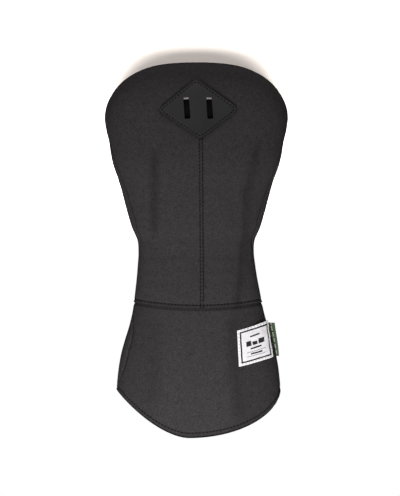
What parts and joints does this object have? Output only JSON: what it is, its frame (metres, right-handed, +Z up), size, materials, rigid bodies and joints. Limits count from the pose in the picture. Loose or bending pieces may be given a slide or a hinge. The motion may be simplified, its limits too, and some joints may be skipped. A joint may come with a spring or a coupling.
{
  "type": "golf driver head cover",
  "caption": "Padded fabric cover for a golf driver: domed head pocket with a diamond lash patch, an elastic neck that bends, and a flared sleeve with a pointed hem, woven label and side tab.",
  "frame": {"origin": "on the sleeve axis at the level of the hem tip, in the middle of the mouth", "axes": "+Z up the sleeve towards the crown, -Y towards the front with the lash patch, +X towards the side seam with the ribbon tab"},
  "size_m": [0.166, 0.0877, 0.3397],
  "materials": {
    "outer_fabric": "matt charcoal woven polyester with a fine mottled grain",
    "foam": "open-cell padding foam, hidden between the layers",
    "fleece": "soft short-pile fleece lining",
    "elastic": "woven elastic tape",
    "patch": "smooth matt synthetic leather with a raised edge",
    "label": "woven satin label with a dark frame",
    "ribbon": "folded green grosgrain ribbon",
    "dark_thread": "bonded sewing thread",
    "pale_thread": "fine polyester thread"
  },
  "bodies": {
    "head": {"front_panel": "outer_fabric", "back_panel": "outer_fabric", "front_padding": "foam", "back_padding": "foam", "head_lining_front": "fleece", "head_lining_back": "fleece", "lash_patch": "patch", "patch_stitching": "dark_thread", "dart_stitching": "dark_thread", "neck_elastic": "elastic"},
    "sleeve": {"front_skirt": "outer_fabric", "back_skirt": "outer_fabric", "sleeve_lining_front": "fleece", "sleeve_lining_back": "fleece", "woven_label": "label", "label_stitching": "pale_thread", "seam_stitching_front": "dark_thread", "seam_stitching_back": "dark_thread", "hem_stitching_front": "dark_thread", "hem_stitching_back": "dark_thread"},
    "tab": {"side_tab": "ribbon"}
  },
  "joints": [
    {"name": "neck_bend", "type": "hinge", "parent": "head", "child": "sleeve", "pos_m": [0, 0, 0.172], "axis": [1, 0, 0], "range_deg": [-30, 30], "stiffness_Nm_per_rad": 0.12, "deforming": ["front_panel", "back_panel", "dart_stitching", "neck_elastic"]},
    {"name": "tab_flip", "type": "hinge", "parent": "sleeve", "child": "tab", "pos_m": [0.06736, 0, 0.09], "axis": [-0.276, 0, 0.9612], "range_deg": [-75, 75], "stiffness_Nm_per_rad": 0.0004}
  ]
}
